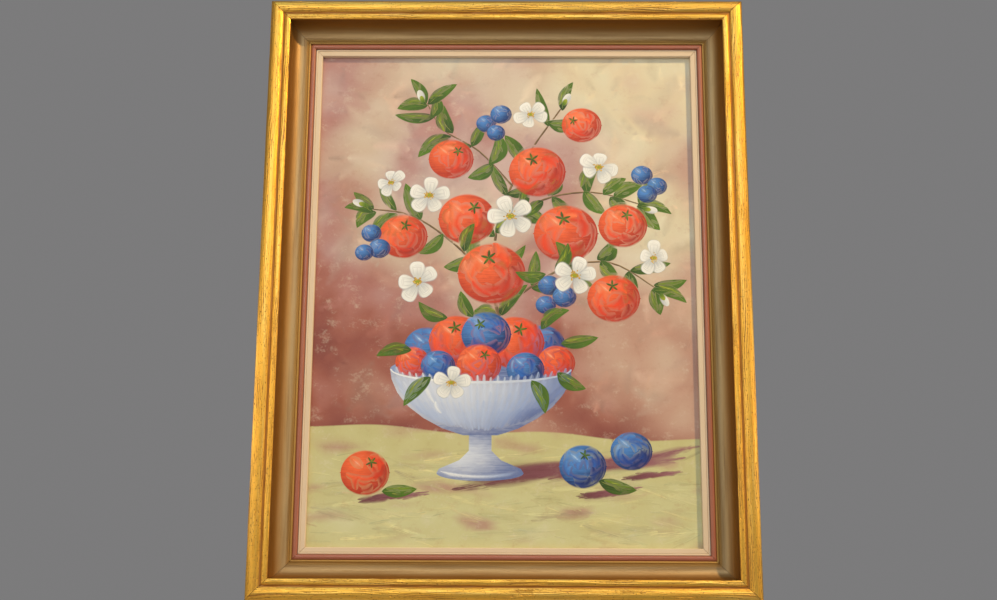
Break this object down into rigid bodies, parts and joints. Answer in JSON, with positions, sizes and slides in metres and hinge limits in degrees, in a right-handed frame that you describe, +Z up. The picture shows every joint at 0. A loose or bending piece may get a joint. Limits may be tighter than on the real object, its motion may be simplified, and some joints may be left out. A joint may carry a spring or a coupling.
{
  "type": "framed oil painting",
  "caption": "Portrait still life in oils on a stretched canvas, in a deep scooped giltwood frame with a cream slip and a steel hanger.",
  "frame": {"origin": "middle of the hanger's face that lies against the wall, at the top of the back", "axes": "+Z up, the picture faces -Y, +X to the right as the picture is seen, and the wall is the plane y = 0"},
  "size_m": [0.574, 0.0578, 0.724],
  "materials": {
    "giltwood": "worn gold leaf on the beads, bronzed scoop, rust-red inner bead, dark stained sides and back",
    "cream_slip": "cream paint, satin, slightly yellowed",
    "painted_canvas": "thin oil paint with brush marks, bare linen behind",
    "stretcher_pine": "planed bare pine, darkened with age",
    "plated_steel": "dull zinc plating"
  },
  "bodies": {
    "root": {"frame_top": "giltwood", "frame_right": "giltwood", "frame_bottom": "giltwood", "frame_left": "giltwood", "liner_top": "cream_slip", "liner_right": "cream_slip", "liner_bottom": "cream_slip", "liner_left": "cream_slip", "canvas": "painted_canvas", "stretcher_top": "stretcher_pine", "stretcher_right": "stretcher_pine", "stretcher_bottom": "stretcher_pine", "stretcher_left": "stretcher_pine", "hanger": "plated_steel", "hanger_nail_left": "plated_steel", "hanger_nail_right": "plated_steel", "plate_left_lower": "plated_steel", "plate_left_upper": "plated_steel", "plate_right_lower": "plated_steel", "plate_right_upper": "plated_steel", "screw_left_lower": "plated_steel", "screw_left_upper": "plated_steel", "screw_right_lower": "plated_steel", "screw_right_upper": "plated_steel"}
  },
  "joints": []
}
